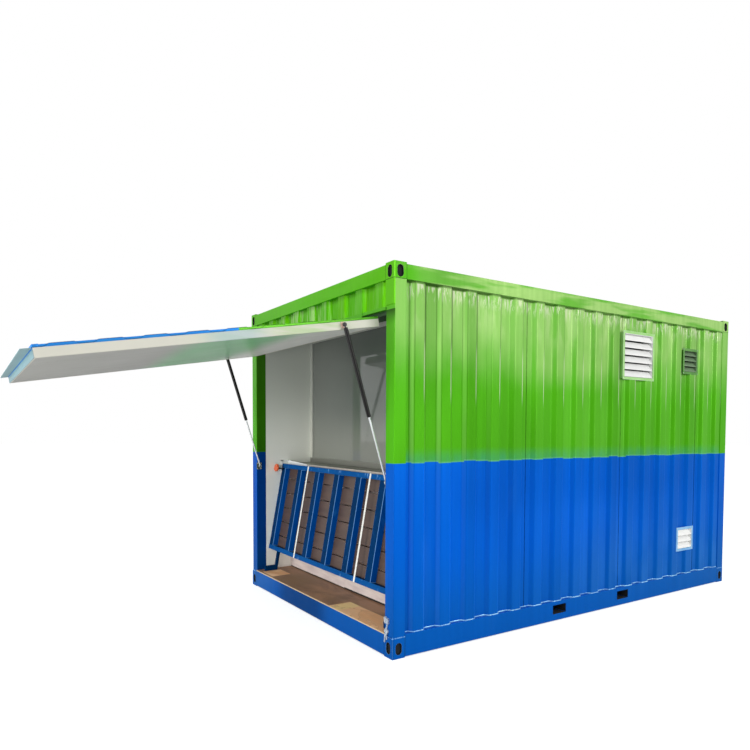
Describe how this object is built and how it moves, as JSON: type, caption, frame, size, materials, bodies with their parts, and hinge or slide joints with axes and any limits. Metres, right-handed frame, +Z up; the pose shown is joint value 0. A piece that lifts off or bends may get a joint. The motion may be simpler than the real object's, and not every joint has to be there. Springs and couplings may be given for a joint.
{
  "type": "container shop",
  "caption": "Steel container shop with a raised gas-strut awning flap over a counter, a glass screen, louvres and fork pockets.",
  "frame": {"origin": "on the ground, at the middle of the four slots in the bottom corner blocks", "axes": "+X from the open front end to the closed rear end, +Y to the left side without louvres, +Z up"},
  "size_m": [6.0634, 2.438, 2.591],
  "materials": {
    "steel_body": "gloss paint, green over blue",
    "steel_base": "gloss blue paint",
    "floor": "film-faced plywood, worn",
    "lining": "satin white sandwich panel",
    "louvre_white": "satin white",
    "louvre_grey": "satin grey-green",
    "screen_frame": "satin white coat",
    "glass": "clear, mirror-like from the front",
    "counter_front": "white",
    "counter_top": "speckled brown top, white edge",
    "deck_steel": "gloss blue paint",
    "deck_board": "brown ribbed boards",
    "strap": "white webbing",
    "knob": "orange",
    "zinc": "zinc plated",
    "flap_panel": "glossy white sandwich panel",
    "flap_edge": "white sheet cap",
    "strut_tube": "black",
    "strut_rod": "polished rod"
  },
  "bodies": {
    "shell": {"front_right_post": "steel_body", "front_left_post": "steel_body", "rear_right_post": "steel_body", "rear_left_post": "steel_body", "top_corner_blocks": "steel_body", "right_top_rail": "steel_body", "left_top_rail": "steel_body", "front_top_rail": "steel_body", "rear_top_rail": "steel_body", "right_wall": "steel_body", "left_wall": "steel_body", "rear_wall": "steel_body", "header_beam": "steel_body", "header_panel": "steel_body", "roof": "steel_body", "hinge_fixed_leaves": "steel_body", "bottom_corner_blocks": "steel_base", "right_bottom_rail": "steel_base", "left_bottom_rail": "steel_base", "front_sill": "steel_base", "rear_bottom_rail": "steel_base", "fork_pockets": "steel_base", "floor_cross_members": "steel_base", "floor_boards": "floor", "right_lining": "lining", "left_lining": "lining", "rear_lining": "lining", "ceiling_lining": "lining", "large_louvre": "louvre_white", "low_louvre": "louvre_white", "small_louvre": "louvre_grey", "screen_frame": "screen_frame", "screen_glass": "glass", "counter_front": "counter_front", "counter_top": "counter_top", "deck_frame": "deck_steel", "deck_feet": "deck_steel", "deck_boards": "deck_board", "deck_straps": "strap", "deck_knob": "knob", "flap_latch": "zinc", "strut_post_brackets": "zinc"},
    "flap": {"flap_skin": "steel_body", "flap_panel": "flap_panel", "flap_edge": "flap_edge", "hinge_moving_leaves": "steel_body", "strut_flap_brackets": "zinc"},
    "right_strut_rod_body": {"right_strut_rod": "strut_rod"},
    "right_strut_tube_body": {"right_strut_tube": "strut_tube"},
    "left_strut_rod_body": {"left_strut_rod": "strut_rod"},
    "left_strut_tube_body": {"left_strut_tube": "strut_tube"}
  },
  "joints": [
    {"name": "flap_hinge", "type": "hinge", "parent": "shell", "child": "flap", "pos_m": [-2.01, 0, 2.268], "axis": [0, -1, 0], "range_deg": [0, 80.3]},
    {"name": "right_strut_swing", "type": "hinge", "parent": "shell", "child": "right_strut_rod_body", "pos_m": [-1.97, -1.093, 1.155], "axis": [0, 1, 0], "range_deg": [0, 18.11]},
    {"name": "right_strut_slide", "type": "slide", "parent": "right_strut_rod_body", "child": "right_strut_tube_body", "axis": [-0.3002, 0, 0.9539], "range_m": [-0.24405, 0]},
    {"name": "left_strut_swing", "type": "hinge", "parent": "shell", "child": "left_strut_rod_body", "pos_m": [-1.97, 1.093, 1.155], "axis": [0, 1, 0], "range_deg": [0, 18.11]},
    {"name": "left_strut_slide", "type": "slide", "parent": "left_strut_rod_body", "child": "left_strut_tube_body", "axis": [-0.3002, 0, 0.9539], "range_m": [-0.24405, 0]}
  ],
  "couplings": [
    {"joint": "right_strut_swing", "follows": "flap_hinge", "ratio": 0.22536},
    {"joint": "right_strut_slide", "follows": "flap_hinge", "m_per_rad": -0.17378},
    {"joint": "left_strut_swing", "follows": "flap_hinge", "ratio": 0.22536},
    {"joint": "left_strut_slide", "follows": "flap_hinge", "m_per_rad": -0.17378}
  ]
}
